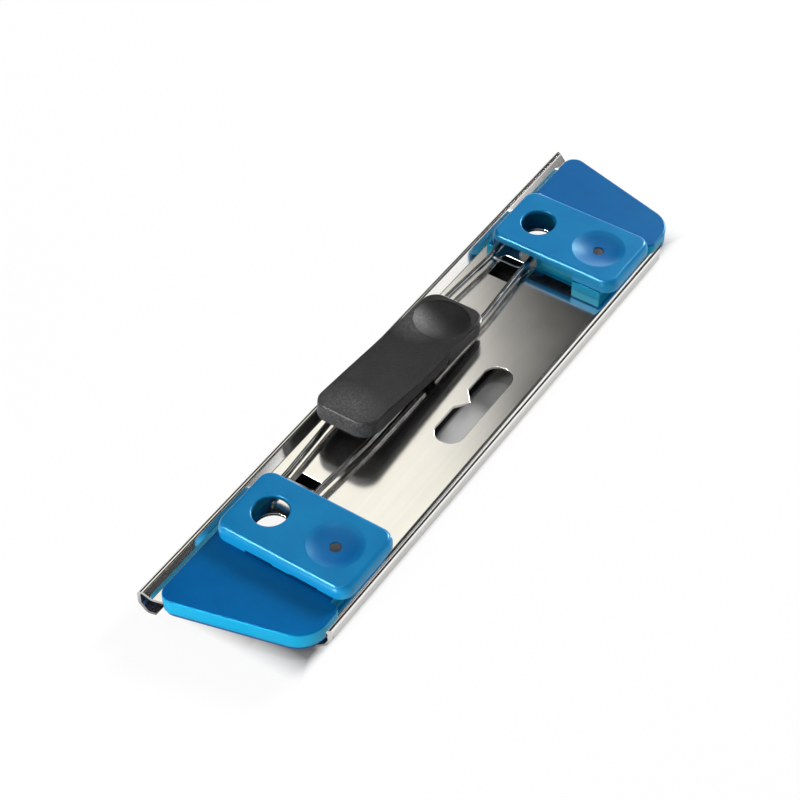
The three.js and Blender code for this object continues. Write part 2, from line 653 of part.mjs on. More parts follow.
// Carrier: a black strip across the wires, with a lug for the pivot and posts for the springs.
function carrier() {
  const left = PRESS_X - CARRIER_HALF_X;
  const right = PRESS_X + CARRIER_HALF_X;
  const near = HANDLE_NEAR_Y + CARRIER_SHORT_NEAR;
  const far = HANDLE_FAR_Y - CARRIER_SHORT_FAR;
  const plan = roundedOutline([
    [left, near, CARRIER_CORNER],
    [right, near, CARRIER_CORNER],
    [right, far, CARRIER_CORNER],
    [left, far, CARRIER_CORNER],
  ]);
  const lug = block(
    [PRESS_X - LUG_HALF_X, PRESS_X + LUG_HALF_X],
    [PIVOT_Y - LUG_HALF_Y, PIVOT_Y + LUG_HALF_Y],
    [CARRIER_TOP - FREE_PLAY, PIVOT_Z + PIVOT_BORE + LUG_WALL],
  );
  let strip = prism(plan, CARRIER_BOTTOM, CARRIER_TOP).add(lug);
  for (const y of [SPRING_FROM_MIDDLE, -SPRING_FROM_MIDDLE]) {
    const bottom = CARRIER_BOTTOM - POST_LENGTH;
    strip = strip.add(post(PRESS_X, y, POST_RADIUS, bottom, CARRIER_TOP, SMALL_SIDES));
  }
  const bore = crossBar(LUG_HALF_X + OVERRUN, PIVOT_BORE, SMALL_SIDES);
  return strip.subtract(solidOf(bore.translate(PRESS_X, PIVOT_Y, PIVOT_Z)));
}

// Plan of the handle cap round its pivot, pulled in by an inset.
function capPlan(inset) {
  const half = HANDLE_WIDTH / 2 - inset;
  const near = HANDLE_NEAR_Y - PIVOT_Y + inset;
  const far = HANDLE_FAR_Y - PIVOT_Y - inset;
  return roundedOutline([
    [-half, near, HANDLE_CORNER - inset],
    [half, near, HANDLE_CORNER - inset],
    [half, far, HANDLE_CORNER - inset],
    [-half, far, HANDLE_CORNER - inset],
  ]);
}

// Handle cap, drawn level round its pivot: rounded top, a thumb dish and a shallow dip, hollow below.
function handleCap() {
  const bottom = -CAP_BELOW_PIVOT;
  const top = bottom + CAP_THICKNESS;
  const near = HANDLE_NEAR_Y - PIVOT_Y;
  const far = HANDLE_FAR_Y - PIVOT_Y;
  const lugX = LUG_HALF_X + CLEARANCE;
  const lugY = LUG_HALF_Y + LUG_ROOM;
  const cutters = [
    prism(capPlan(CAP_WALL), bottom - OVERRUN, top - CAP_CROWN),
    block([-lugX, lugX], [-lugY, lugY], [bottom, PIVOT_BORE + LUG_WALL + LUG_ROOM]),
    solidOf(crossBar(HANDLE_WIDTH, PIVOT_BORE, SMALL_SIDES)),
    solidOf(dish(THUMB_RADIUS, DIP_DEPTH).translate(0, near + THUMB_FROM_END, top)),
    solidOf(dish(THUMB_RADIUS, THUMB_DEPTH).translate(0, far - THUMB_FROM_END, top)),
    ...[-WIRE_HALF_AT_HANDLE, WIRE_HALF_AT_HANDLE].map((x) => {
      const across = [x - WIRE_RADIUS - CLEARANCE, x + WIRE_RADIUS + CLEARANCE];
      const wall = [far - CAP_WALL - OVERRUN, far + OVERRUN];
      return block(across, wall, [bottom - OVERRUN, bottom + NOTCH_HEIGHT]);
    }),
  ];
  const whole = roundedPrism(capPlan(0), bottom, top, HANDLE_ROUND, HANDLE_ROUND);
  return cutters.reduce((cap, cutter) => cap.subtract(cutter), whole);
}

// Return spring between the plate and the carrier.
class SpringLine extends THREE.Curve {
  getPoint(share, target = new THREE.Vector3()) {
    const bottom = PLATE_TOP + SEAT_GAP + SPRING_WIRE;
    const top = CARRIER_BOTTOM - SEAT_GAP - SPRING_WIRE;
    const angle = share * SPRING_TURNS * Math.PI * 2;
    const height = bottom + (top - bottom) * share;
    return target.set(SPRING_RADIUS * Math.cos(angle), SPRING_RADIUS * Math.sin(angle), height);
  }
}

function spring() {
  const section = new THREE.EllipseCurve(0, 0, SPRING_WIRE, SPRING_WIRE);
  const points = section.getPoints(SPRING_SIDES).slice(0, SPRING_SIDES);
  const steps = SPRING_TURNS * SPRING_STEPS;
  const options = { steps, extrudePath: new SpringLine(), bevelEnabled: false };
  const geometry = new THREE.ExtrudeGeometry(new THREE.Shape(points), options);
  return solidOf(geometry.translate(PRESS_X, SPRING_FROM_MIDDLE, 0));
}

// Under-pad: a thin dark rim below the pad's skirt, its core held inside the plate's outline.
function underPad() {
  const plan = padPlan(UNDER_INSET, underInner());
  const rimTop = UNDER_LIFT + UNDER_RIM;
  const rim = prism(plan, UNDER_LIFT, rimTop);
  const core = prism(plan, rimTop - FREE_PLAY, UNDER_TOP).intersect(platePlan(-CLEARANCE));
  const holes = SCREW_X.flatMap((x) => {
    const y = plateEnd(x) - SCREW_FROM_END;
    const seat = SCREW_SEAT + FREE_PLAY;
    return [
      post(x, y, SCREW_HEAD_RADIUS + CLEARANCE, UNDER_LIFT - OVERRUN, seat, SMALL_SIDES),
      post(x, y, SCREW_RADIUS + CLEARANCE, UNDER_LIFT - OVERRUN, PLATE_TOP, SMALL_SIDES),
    ];
  });
  return holes.reduce((pad, hole) => pad.subtract(hole), rim.add(core));
}

// Small pan screw, driven from below through the under-pad and the plate into the lower body.
function screw(x) {
  const y = plateEnd(x) - SCREW_FROM_END;
  const profile = [
    [0, SCREW_BOTTOM],
    [SCREW_CROWN_RADIUS, SCREW_BOTTOM],
    [SCREW_HEAD_RADIUS, (SCREW_BOTTOM + SCREW_SEAT) / 2],
    [SCREW_HEAD_RADIUS, SCREW_SEAT],
    [SCREW_RADIUS, SCREW_SEAT],
    [SCREW_RADIUS, SCREW_TOP - SCREW_TIP],
    [SCREW_RADIUS - SCREW_TIP, SCREW_TOP],
    [0, SCREW_TOP],
  ].map(([radius, z]) => new THREE.Vector2(radius, z));
  const body = solidOf(new THREE.LatheGeometry(profile, SMALL_SIDES).rotateX(Math.PI / 2).translate(x, y, 0));
  const depth = [SCREW_BOTTOM - OVERRUN, SCREW_BOTTOM + RECESS_DEPTH];
  const long = [x - RECESS_REACH, x + RECESS_REACH];
  const wide = [y - RECESS_REACH, y + RECESS_REACH];
  return body
    .subtract(block(long, [y - RECESS_HALF, y + RECESS_HALF], depth))
    .subtract(block([x - RECESS_HALF, x + RECESS_HALF], wide, depth));
}

// Assembly
const holePunch = new THREE.Group();

function addPiece(parent, name, geometry, material) {
  const mesh = new THREE.Mesh(geometry, material);
  mesh.name = name;
  parent.add(mesh);
}

// Each end piece is drawn at the far end and mirrored to the near one.
const endPieces = [
  ["lower_body", lowerBody(), materials.pad],
  ["under_pad", underPad(), materials.underPad],
  ["upper_cover", upperCover(), materials.cover],
  ["die", die(), materials.steel],
  ["punch_pin", punchPin(), materials.steel],
  ["crosshead", crosshead(), materials.steel],
  ["bail", bail(), materials.wire],
  ["spring", spring(), materials.steel],
  ["left_screw", screw(SCREW_X[0]), materials.steel],
  ["right_screw", screw(SCREW_X[1]), materials.steel],
];

addPiece(holePunch, "base_plate", geometryOf(basePlate()), materials.plate);
for (const [name, solid, material] of endPieces) {
  const geometry = geometryOf(solid);
  addPiece(holePunch, `far_${name}`, geometry, material);
  addPiece(holePunch, `near_${name}`, mirroredToNear(geometry), material);
}
addPiece(holePunch, "handle_carrier", geometryOf(carrier()), materials.handle);

const handle = new THREE.Group();
handle.position.set(PRESS_X, PIVOT_Y, PIVOT_Z);
handle.rotation.x = -THREE.MathUtils.degToRad(HANDLE_TILT_DEGREES);
addPiece(handle, "handle_cap", geometryOf(handleCap()), materials.handle);
holePunch.add(handle);

const pivot = crossBar(HANDLE_WIDTH / 2 - FREE_PLAY, PIVOT_RADIUS, SMALL_SIDES);
pivot.translate(PRESS_X, PIVOT_Y, PIVOT_Z);
addPiece(holePunch, "handle_pivot", geometryOf(solidOf(pivot)), materials.steel);

export default holePunch;
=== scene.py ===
"""Looks of the mini hole punch: finer skins over its solids, their materials, the light and the camera."""

import math

import bmesh
import bpy
from mathutils import Matrix, Vector


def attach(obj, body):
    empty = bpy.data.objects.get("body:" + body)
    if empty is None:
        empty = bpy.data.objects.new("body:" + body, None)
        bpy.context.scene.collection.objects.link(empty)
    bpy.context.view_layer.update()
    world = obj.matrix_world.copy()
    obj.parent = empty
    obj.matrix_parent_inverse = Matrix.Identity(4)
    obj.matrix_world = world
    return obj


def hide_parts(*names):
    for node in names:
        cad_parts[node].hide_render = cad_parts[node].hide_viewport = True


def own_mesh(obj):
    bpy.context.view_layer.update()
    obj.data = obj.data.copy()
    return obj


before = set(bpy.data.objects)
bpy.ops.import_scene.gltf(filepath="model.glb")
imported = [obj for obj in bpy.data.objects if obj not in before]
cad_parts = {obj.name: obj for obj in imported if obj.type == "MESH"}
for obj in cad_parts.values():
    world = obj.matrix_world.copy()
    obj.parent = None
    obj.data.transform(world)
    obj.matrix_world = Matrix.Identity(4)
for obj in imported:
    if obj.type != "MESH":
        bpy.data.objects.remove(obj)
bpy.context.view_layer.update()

# Sizes in millimetres, as the solids have them
MM = 0.001
ENDS = (("far", 1), ("near", -1))

# Plate: its section, ends, slot and cut-outs
HALF_WIDTH = 14.2
PLATE_REACH = 62.0
END_SLOPE = 0.265
PLATE_TOP = 3.8
SHEET = 0.5
PLAN_LEFT = -30
CORNER_WIDTH, CORNER_LENGTH, CORNER_ROUND = 5.7, 3.5, 2
LEFT_FLANGE, LEFT_FOOT, LEFT_FOOT_RISE = 2.4, 1.2, 2.2
RIGHT_FLANGE, RIGHT_FOOT, RIGHT_FOOT_RISE = 1.7, 0.5, 1.1
LIP_RISE, LIP_WIDTH = 1.4, 2.3
LEFT_BEND, LIP_BEND, SHOULDER_BEND, RIGHT_BEND = 0.8, 0.5, 0.95, 0.4
SLOT_LEFT, SLOT_RIGHT, SLOT_END = 4.55, 9.75, 9.9
TOOTH_REACH, TOOTH_HALF = 1.9, 2.25
CUT_HALF, CUT_START, CUT_END, CUT_ROUND = 2.05, 27.9, 33.7, 0.25
SCREW_FROM_LEFT, SCREW_FROM_RIGHT, SCREW_FROM_END, SCREW_ROOM = 5, 7.1, 4.2, 1.05

# Punch units: the pad, the cover, and what stands in them
UNIT_Y = 40.0
UNIT_INNER, UNIT_OUTER = 32.7, 47.3
WALL = 1.1
PRESS_X, WINDOW_X, STOP_X, PIN_X = -5.7, -4.9, -1.35, 7.35
PAD_LEFT, PAD_RIGHT, PAD_TOP = -10.95, 13.8, 5.6
PAD_OVERHANG = 0.95
NECK_RIGHT, NECK_ROUND = 11.9, 0.35
LOBE_START, LOBE_ROUND = 47.7, 1.5
PAD_RIGHT_ROUND, PAD_LEFT_ROUND = 5.2, 2.2
SKIRT_START, SKIRT_FOOT, SKIRT_GAP = 49.87, 2.8, 0.3
COVER_TOP, COVER_ROUND = 8.2, 2.5
COVER_FOOT, COVER_CEILING = 4, 7.45
MOUTH_RIGHT, MOUTH_TOP, MOUTH_END = 6.45, 7.2, 35.6
ARM_ROOM_LEFT, ARM_ROOM_RIGHT = STOP_X - 3.1, 10.65
ARM_BED_BOTTOM, ARM_BED_TOP = PAD_TOP + 0.35, PAD_TOP + 0.65
THROAT_RIGHT = 18
SLITS = ((PIN_X - 12, PIN_X - 6.8), (PIN_X - 3.5, PIN_X + 1.7))
SLIT_TOP = PAD_TOP + 0.6
WINDOW_HALF_X, WINDOW_HALF_Y, WINDOW_GAP = 2.95, 3.15, 0.3
PLATE_BORE, DIE_ROOM, GUIDE_BORE, PEEP_RADIUS = 3.25, 4.25, 3.05, 1.0
DISH_RADIUS, DISH_DEPTH, DISH_RIM = 4.8, 0.68, 0.05

# Where cutters that run past a unit or the plate begin and end
BEFORE_UNIT, BEHIND_UNIT, BELOW_UNIT, ABOVE_PAD = 30, 50, 1, 8
BELOW_PLATE, ABOVE_COVER = -2, 9

# Wires, their tongue, and the springs
WIRE_Z, WIRE_RADIUS, WIRE_BEND = 5.3, 0.6, 1.0
WIRE_SLIMMING = 0.87
WIRE_REACH = 4.05
WIRE_WIDE, WIRE_NARROW = 3.9, 3.15
WIRE_START, WIRE_TURN, WIRE_STRAIGHT, WIRE_END = 1.5, 18, 30, 34.7
HEAD_BOTTOM, HEAD_GAP = 6.9, 0.05
TONGUE_SPAN = (30.87, 31.33)
TONGUE_HALF = ((1.75, 2.3), (1.75, 4.2), (2.05, 4.6), (3.15, 4.9), (3.15, 5.4), (1.75, 5.0))
SPRING_Y, SPRING_FOOT, SPRING_HEAD = 7.5, 3.85, 6.0
COIL_RADIUS, COIL_WIRE, COIL_SEAT, COIL_TURNS = 1.95, 0.2, 0.27, 2

# Cap, level round its pivot
CAP_PIVOT = (PRESS_X, 3.0, 7.1)
CAP_TILT = 5.9
CAP_HALF, CAP_ROUND = 5.7, 3
CAP_NEAR, CAP_FAR = -23.5, 12.5
CAP_BOTTOM, CAP_TOP = -0.8, 2.2
CAP_WALL, CAP_ROOF = 0.9, 1.4
STRIP_HALF_X, STRIP_HALF_Y, STRIP_TOP = 3.5, 1.4, 1.15
SAG_DEPTH, SAG_FROM_NEAR, SAG_FROM_FAR = 0.5, 2.5, 1.5
THUMB_FROM_FAR, THUMB_BELOW_TOP, THUMB_RADIUS, THUMB_DEPTH = 6.2, 0.1, 5.1, 1.15
NOTCH_HALF, NOTCH_LENGTH, NOTCH_RISE = 0.9, 2.9, 1.3
PIVOT_BORE, BESIDE_CAP = 0.5, 8


# Shapes


def outline(corners, steps=10):
    """A closed outline from corners (x, y, radius), each rounded by an arc."""
    points = []
    for i, (x, y, radius) in enumerate(corners):
        corner = Vector((x, y))
        if not radius:
            points.append(corner)
            continue
        back = (Vector(corners[i - 1][:2]) - corner).normalized()
        ahead = (Vector(corners[(i + 1) % len(corners)][:2]) - corner).normalized()
        half = back.angle(ahead) / 2
        centre = corner + (back + ahead).normalized() * radius / math.sin(half)
        start = corner + back * radius / math.tan(half) - centre
        end = corner + ahead * radius / math.tan(half) - centre
        turn = math.atan2(start.x * end.y - start.y * end.x, start.dot(end))
        for step in range(steps + 1):
            points.append(centre + Matrix.Rotation(turn * step / steps, 2) @ start)
    return points


def rectangle(x, y, third=0):
    """Four corners, the third number of each being a rounding radius or a height."""
    return [(x[0], y[0], third), (x[1], y[0], third), (x[1], y[1], third), (x[0], y[1], third)]


def ellipse(x, y, half_x, half_y, count=72):
    """An outline round a centre, anticlockwise."""
    turns = [2 * math.pi * i / count for i in range(count)]
    return [Vector((x + half_x * math.cos(t), y + half_y * math.sin(t))) for t in turns]


def circle(x, y, radius, count=72):
    """A round outline."""
    return ellipse(x, y, radius, radius, count)


def inset(points, distance):
    """The outline moved inward by a distance, or outward by a negative one."""
    moved = []
    for i, point in enumerate(points):
        before = (point - points[i - 1]).normalized()
        after = (points[(i + 1) % len(points)] - point).normalized()
        first, second = Vector((-before.y, before.x)), Vector((-after.y, after.x))
        middle = (first + second).normalized()
        moved.append(point + middle * distance / max(middle.dot(first), 0.4))
    return moved


def new_object(name, vertices, faces):
    """An object from vertices in millimetres."""
    mesh = bpy.data.meshes.new(name)
    mesh.from_pydata([Vector(v) * MM for v in vertices], [], faces)
    thing = bpy.data.objects.new(name, mesh)
    bpy.context.scene.collection.objects.link(thing)
    return thing


def stack(name, rings):
    """A closed solid through rings of (outline, z), from the lowest to the highest."""
    count = len(rings[0][0])
    vertices = [(p.x, p.y, z) for points, z in rings for p in points]
    faces = [tuple(reversed(range(count)))]
    for level in range(len(rings) - 1):
        a, b = level * count, (level + 1) * count
        faces += [(a + i, a + (i + 1) % count, b + (i + 1) % count, b + i) for i in range(count)]
    faces.append(tuple((len(rings) - 1) * count + i for i in range(count)))
    return new_object(name, vertices, faces)


def extruded(name, section, span, along_y=True):
    """A closed solid with one section of (across, z) over a span of Y, or else of X."""
    count = len(section)
    vertices = []
    for along in span:
        for across, z in section:
            vertices.append((across, along, z) if along_y else (along, across, z))
    faces = [tuple(range(count)), tuple(reversed(range(count, 2 * count)))]
    faces += [(i, i + count, (i + 1) % count + count, (i + 1) % count) for i in range(count)]
    return new_object(name, vertices, faces)


def soft_prism(name, points, bottom, top, width, height, steps, foot):
    """An upright prism whose top edge is rounded by a quarter ellipse and whose foot is eased."""
    rings = [(inset(points, foot), bottom), (points, bottom + foot)]
    for step in range(steps + 1):
        turn = math.pi / 2 * step / steps
        rings.append((inset(points, width * (1 - math.cos(turn))), top - height * (1 - math.sin(turn))))
    return stack(name, rings)


def cutter(points, bottom, top):
    """A cutter with upright sides."""
    return stack("cutter", [(points, bottom), (points, top)])


def box(x, y, z):
    """A cutter between two places along each axis."""
    return cutter(outline(rectangle(x, y)), z[0], z[1])


def flared(points, bottom, top, ease, steps, both=False):
    """A cutter for a hole whose upper rim, and lower rim if both, is eased by a small round."""
    rings = []
    if both:
        for step in range(steps + 1):
            turn = math.pi / 2 * step / steps
            rings.append((inset(points, -ease * (1 - math.sin(turn))), bottom + ease * (1 - math.cos(turn))))
        rings[0] = (inset(points, -ease), bottom - 0.02)
    else:
        rings.append((points, bottom))
    for step in range(steps + 1):
        turn = math.pi / 2 * step / steps
        rings.append((inset(points, -ease * (1 - math.cos(turn))), top - ease * (1 - math.sin(turn))))
    rings.append((inset(points, -ease), top + 0.5))
    return stack("cutter", rings)


def revolved(profile, x, y, count):
    """A cutter of revolution through (radius, z), from the axis to the axis."""
    return stack("cutter", [(circle(x, y, max(radius, 0.004), count), z) for radius, z in profile])


def bowl(x, y, z, radius, depth, steps=18):
    """A cutter for a dish that runs out softly into the face at z."""
    profile = []
    for step in range(steps + 1):
        share = step / steps
        profile.append((radius * share, z - depth * (1 - share ** 2.2) ** 1.15))
    profile.append((radius + DISH_RIM, z + 0.004))
    profile.append((radius + DISH_RIM, z + 1.0))
    return revolved(profile, x, y, 96)


def mirrored(thing, name):
    """A copy at the near end of a far-end piece."""
    mesh = thing.data.copy()
    mesh.transform(Matrix.Scale(-1, 4, (0, 1, 0)))
    mesh.flip_normals()
    copy = bpy.data.objects.new(name, mesh)
    bpy.context.scene.collection.objects.link(copy)
    return copy


def remove(thing):
    """Removes an object, and its mesh where nothing else uses it."""
    mesh = thing.data
    bpy.data.objects.remove(thing)
    if mesh.users == 0:
        bpy.data.meshes.remove(mesh)


def baked(thing):
    """Turns an object and its modifiers into one plain mesh."""
    graph = bpy.context.evaluated_depsgraph_get()
    graph.update()
    mesh = bpy.data.meshes.new_from_object(thing.evaluated_get(graph))
    thing.modifiers.clear()
    old = thing.data
    thing.data = mesh
    if old.users == 0:
        bpy.data.meshes.remove(old)
    mesh.name = thing.name


def combine(thing, others, operation="DIFFERENCE"):
    """Cuts the others out of a solid, or joins or intersects it with them, and removes them."""
    for other in others:
        step = thing.modifiers.new("step", "BOOLEAN")
        step.operation = operation
        step.solver = "EXACT"
        step.object = other
    baked(thing)
    for other in others:
        remove(other)


def finished(thing, material, bevel=0.0):
    """Merges stray points, eases sharp edges and gives smooth faces with flat faces kept flat."""
    thing.data.materials.clear()
    if bevel:
        ease = thing.modifiers.new("ease", "BEVEL")
        ease.width = bevel * MM
        ease.segments = 2
        ease.limit_method = "ANGLE"
        ease.angle_limit = math.radians(50)
        baked(thing)
    work = bmesh.new()
    work.from_mesh(thing.data)
    bmesh.ops.remove_doubles(work, verts=work.verts, dist=2e-7)
    bmesh.ops.dissolve_degenerate(work, edges=work.edges, dist=1e-7)
    bmesh.ops.recalc_face_normals(work, faces=work.faces)
    work.to_mesh(thing.data)
    work.free()
    thing.data.shade_smooth()
    thing.data.set_sharp_from_angle(angle=math.radians(32))
    level = thing.modifiers.new("level", "WEIGHTED_NORMAL")
    level.mode = "FACE_AREA"
    level.weight = 100
    level.keep_sharp = True
    baked(thing)
    thing.data.materials.clear()
    thing.data.materials.append(material)
    return thing


def joined(thing, *others):
    """Puts the meshes of several pieces of one body into the first of them."""
    work = bmesh.new()
    for piece in (thing, *others):
        work.from_mesh(piece.data)
    work.to_mesh(thing.data)
    work.free()
    for other in others:
        remove(other)
    return thing


# Materials


class Network:
    """The nodes of a material or of the sky, and the sums that they share."""

    def __init__(self, owner, blank=True):
        owner.use_nodes = True
        self.tree = owner.node_tree
        if blank:
            self.tree.nodes.clear()

    def add(self, kind, **values):
        node = self.tree.nodes.new(kind)
        for key, value in values.items():
            setattr(node, key, value)
        return node

    def link(self, output, target):
        self.tree.links.new(output, target)

    def here(self):
        """The place in object space."""
        return self.add("ShaderNodeTexCoord").outputs["Object"]

    def split(self, vector):
        """The x, y and z of a vector."""
        node = self.add("ShaderNodeSeparateXYZ")
        self.link(vector, node.inputs[0])
        return tuple(node.outputs)

    def distance(self, place, spot):
        """The distance of a place from a spot given in millimetres."""
        away = self.add("ShaderNodeVectorMath", operation="DISTANCE")
        away.inputs[1].default_value = [v * MM for v in spot]
        self.link(place, away.inputs[0])
        return away.outputs["Value"]

    def maths(self, operation, first, second=None):
        """A sum of an output with another output or with a number."""
        node = self.add("ShaderNodeMath", operation=operation)
        self.link(first, node.inputs[0])
        if isinstance(second, float):
            node.inputs[1].default_value = second
        elif second is not None:
            self.link(second, node.inputs[1])
        return node.outputs[0]

    def remap(self, value, low, high, to_low=0.0, to_high=1.0):
        node = self.add("ShaderNodeMapRange")
        for key, number in zip(("From Min", "From Max", "To Min", "To Max"), (low, high, to_low, to_high)):
            node.inputs[key].default_value = number
        self.link(value, node.inputs["Value"])
        return node.outputs["Result"]

    def blend(self, share, first, second):
        """A colour between two colours, by a share from 0 to 1."""
        node = self.add("ShaderNodeMix", data_type="RGBA")
        self.link(share, node.inputs[0])
        for spot, colour in ((6, first), (7, second)):
            if isinstance(colour, tuple):
                node.inputs[spot].default_value = (*colour, 1)
            else:
                self.link(colour, node.inputs[spot])
        return node.outputs[2]

    def seen(self, path):
        """1 for rays that show a thing straight, mirrored or through another."""
        seen = self.maths("MAXIMUM", path["Is Camera Ray"], path["Is Glossy Ray"])
        return self.maths("MAXIMUM", seen, path["Is Transmission Ray"])

    def show(self, shader, kind="ShaderNodeOutputMaterial"):
        self.link(shader.outputs[0], self.add(kind).inputs["Surface"])


class Finish(Network):
    """A procedural finish: a base colour with grain, a roughness with wear, and a fine relief."""

    def __init__(self, name, colour, roughness, metallic=0.0):
        self.material = bpy.data.materials.new(name)
        super().__init__(self.material, blank=False)
        self.shader = next(n for n in self.tree.nodes if n.type == "BSDF_PRINCIPLED")
        self.shader.inputs["Metallic"].default_value = metallic
        self.shader.inputs["Roughness"].default_value = roughness
        self.shader.inputs["Base Color"].default_value = (*colour, 1)
        self.place = self.here()
        self.relief = None

    def noise(self, scale, detail=4.0, stretch=(1, 1, 1), rough=0.55, turn=(0, 0, 0)):
        """Noise in object space; the scale counts cells per metre."""
        mapping = self.add("ShaderNodeMapping")
        mapping.inputs["Scale"].default_value = stretch
        mapping.inputs["Rotation"].default_value = turn
        self.link(self.place, mapping.inputs["Vector"])
        noise = self.add("ShaderNodeTexNoise")
        noise.inputs["Scale"].default_value = scale
        noise.inputs["Detail"].default_value = detail
        noise.inputs["Roughness"].default_value = rough
        self.link(mapping.outputs["Vector"], noise.inputs["Vector"])
        return noise.outputs["Fac"]

    def upright(self):
        """1 on walls that stand up, 0 on level faces."""
        rise = self.split(self.add("ShaderNodeNewGeometry").outputs["Normal"])[2]
        return self.remap(self.maths("ABSOLUTE", rise), 0.85, 0.3)

    def near(self, spot, radius, share, core=0.35):
        """A share round a spot given in millimetres, full in its core and nothing from a radius on."""
        return self.remap(self.distance(self.place, spot), radius * MM, core * radius * MM, 0.0, share)

    def colour(self, output):
        self.link(output, self.shader.inputs["Base Color"])

    def roughness(self, output):
        self.link(output, self.shader.inputs["Roughness"])

    def bump(self, height, strength, distance):
        node = self.add("ShaderNodeBump")
        node.inputs["Strength"].default_value = strength
        node.inputs["Distance"].default_value = distance
        self.link(height, node.inputs["Height"])
        if self.relief:
            self.link(self.relief, node.inputs["Normal"])
        self.relief = node.outputs["Normal"]
        self.link(self.relief, self.shader.inputs["Normal"])


def plate_finish():
    """Polished sheet: faint drawn lines along its length and a few broad, soft variations."""
    f = Finish("polished_plate", (0.94, 0.925, 0.90), 0.13, 1.0)
    lines = f.noise(900, 3.0, (1, 0.02, 1))
    broad = f.noise(60, 2.0)
    speck = f.noise(5200, 2.0)
    f.colour(f.blend(f.remap(lines, 0.3, 0.7), (0.92, 0.905, 0.88), (0.96, 0.945, 0.92)))
    f.roughness(f.remap(broad, 0.3, 0.7, 0.11, 0.15))
    f.bump(lines, 0.05, 0.00002)
    f.bump(speck, 0.04, 0.00002)
    return f.material


def moulded_finish(name, low, high, side, tint, rough, dish_shade_spots=()):
    """Moulded blue: soft mottling and scuffs, painted light that makes walls paler and greener than level
    faces, and painted shade that makes it deeper over the dish spots.
    """
    f = Finish(name, high, rough)
    cloud = f.noise(170, 3.0)
    skin = f.noise(4200, 3.0)
    scuff = f.noise(800, 6.0, (1, 0.25, 1), 0.7, (0, 0, 0.5))
    base = f.blend(f.remap(cloud, 0.32, 0.68), low, high)
    pale = tuple(min(1.0, c * 1.25 + 0.02) for c in high)
    # Painted shade: a deeper blue over each dish spot stands in for the dish's shaded hollow.
    dish_shade = (0.0, 0.094, 0.32)
    wear_and_painted_light = f.blend(f.remap(scuff, 0.66, 0.78, 0.0, 0.35), base, pale)
    for spot in dish_shade_spots:
        wear_and_painted_light = f.blend(f.near(spot, 5.0, 0.8, 0.66), wear_and_painted_light, dish_shade)
    # Painted light: walls that stand up blend towards the paler, greener side colour.
    f.colour(f.blend(f.upright(), wear_and_painted_light, side))
    f.roughness(f.remap(skin, 0.3, 0.7, rough - 0.02, rough + 0.03))
    f.bump(skin, 0.03, 0.00003)
    f.bump(cloud, 0.08, 0.00008)
    f.shader.inputs["Specular IOR Level"].default_value = 0.4
    f.shader.inputs["Specular Tint"].default_value = (*tint, 1)
    return f.material


def handle_finish():
    """Matt black grip: a fine sparkling grain over a dull skin, greyer and speckled at the near end and on
    one side of the thumb bowl, partly finger wear and partly painted light.
    """
    # Both spots are partly finger wear and partly painted light; the thumb-bowl spot sits off centre on the
    # wall that faces the light.
    worn_and_lit_spots = (((-5.9, -19.5, 11.0), 8.0, 0.75), ((-8.6, 6.6, 7.6), 5.5, 0.6))
    f = Finish("grip_black", (0.006, 0.006, 0.007), 0.5)
    grain = f.noise(5200, 2.0, rough=0.7)
    dull = f.noise(140, 3.0)
    fleck = f.noise(9000, 1.0)
    base = f.blend(f.remap(dull, 0.35, 0.65), (0.004, 0.004, 0.005), (0.009, 0.009, 0.010))
    skin = f.blend(f.remap(fleck, 0.64, 0.8, 0.0, 0.6), base, (0.09, 0.09, 0.09))
    wear_and_painted_light = f.remap(f.noise(2600, 5.0, rough=0.75), 0.42, 0.62, 0.35, 1.0)
    for spot, radius, share in worn_and_lit_spots:
        # Wear and painted light: the grip turns greyer in the speckled spots.
        skin = f.blend(f.maths("MULTIPLY", wear_and_painted_light, f.near(spot, radius, share)), skin, (0.11, 0.11, 0.11))
    f.colour(skin)
    f.roughness(f.remap(grain, 0.3, 0.7, 0.26, 0.46))
    f.bump(grain, 0.7, 0.00008)
    f.bump(dull, 0.05, 0.0002)
    f.shader.inputs["Specular IOR Level"].default_value = 0.14
    return f.material


def metal_finish(name, low, high, rough, stretch=(1, 1, 1), scale=1600):
    """Plain metal: fine drawn or ground marks with darker and duller spots."""
    f = Finish(name, high, rough, 1.0)
    marks = f.noise(scale, 3.0, stretch)
    spots = f.noise(350, 4.0)
    f.colour(f.blend(f.remap(spots, 0.35, 0.7), high, low))
    f.roughness(f.remap(marks, 0.3, 0.7, rough - 0.06, rough + 0.1))
    f.bump(marks, 0.08, 0.00003)
    return f.material


def under_finish():
    """Dull dark rubbery layer under the ends."""
    f = Finish("under_pad_navy", (0.004, 0.04, 0.14), 0.75)
    grain = f.noise(3000, 3.0)
    cloud = f.noise(200, 3.0)
    f.colour(f.blend(f.remap(cloud, 0.3, 0.7), (0.003, 0.035, 0.12), (0.006, 0.05, 0.16)))
    f.roughness(f.remap(grain, 0.3, 0.7, 0.66, 0.86))
    f.bump(grain, 0.25, 0.00005)
    return f.material


